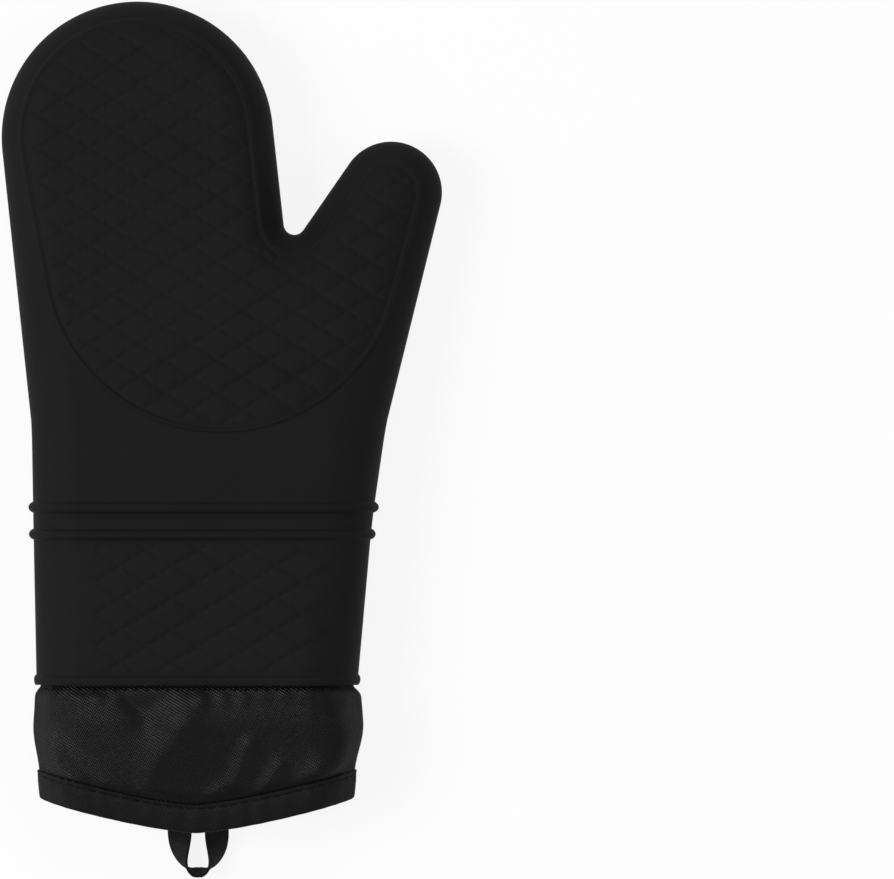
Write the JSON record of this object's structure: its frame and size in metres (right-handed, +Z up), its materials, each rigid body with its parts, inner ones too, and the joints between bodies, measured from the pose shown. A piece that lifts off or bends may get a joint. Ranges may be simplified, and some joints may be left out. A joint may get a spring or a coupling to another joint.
{
  "type": "heat resistant glove",
  "caption": "Long heat resistant oven mitt of moulded silicone with a quilted liner, a bound twill cuff and a hanging loop; fingers, thumb and wrist flex.",
  "frame": {"origin": "middle of the mitt's box, on the surface it lies on", "axes": "+X to the thumb side, +Y from the cuff to the fingertips, +Z up out of the palm; the mitt lies on its back"},
  "size_m": [0.1868, 0.3704, 0.0461],
  "materials": {
    "silicone": "matte",
    "felt": "matte",
    "cotton": "matte",
    "twill": "satin",
    "tape": "satin",
    "thread": "satin"
  },
  "bodies": {
    "hand": {"silicone_palm": "silicone", "batting_palm": "felt", "lining_palm": "cotton"},
    "gauntlet": {"silicone_gauntlet": "silicone", "batting_gauntlet": "felt", "lining_gauntlet": "cotton", "cuff_palm_panel": "twill", "cuff_back_panel": "twill", "hem_binding": "tape", "loop_tails": "tape", "cuff_seam_stitches": "thread", "binding_stitches": "thread", "loop_bar_tacks": "thread"},
    "fingers": {"silicone_fingers": "silicone", "batting_fingers": "felt", "lining_fingers": "cotton"},
    "thumb": {"silicone_thumb": "silicone", "batting_thumb": "felt", "lining_thumb": "cotton"},
    "loop": {"hanging_loop": "tape"}
  },
  "joints": [
    {"name": "finger_flex", "type": "hinge", "parent": "hand", "child": "fingers", "pos_m": [-0.0358, 0.10885, 0.03895], "axis": [1, 0, 0], "range_deg": [0, 50], "stiffness_Nm_per_rad": 0.1},
    {"name": "thumb_flex", "type": "hinge", "parent": "hand", "child": "thumb", "pos_m": [0.0391, 0.09383, 0.0351], "axis": [0.6136, -0.7854, 0.0813], "range_deg": [0, 45], "stiffness_Nm_per_rad": 0.06},
    {"name": "wrist_flex", "type": "hinge", "parent": "hand", "child": "gauntlet", "pos_m": [-0.008, -0.03485, 0.044], "axis": [-1, 0, 0], "range_deg": [0, 30], "stiffness_Nm_per_rad": 0.2},
    {"name": "loop_swing", "type": "hinge", "parent": "gauntlet", "child": "loop", "pos_m": [-0.0104, -0.16715, 0.0077], "axis": [-1, 0, 0], "range_deg": [0, 110]}
  ]
}
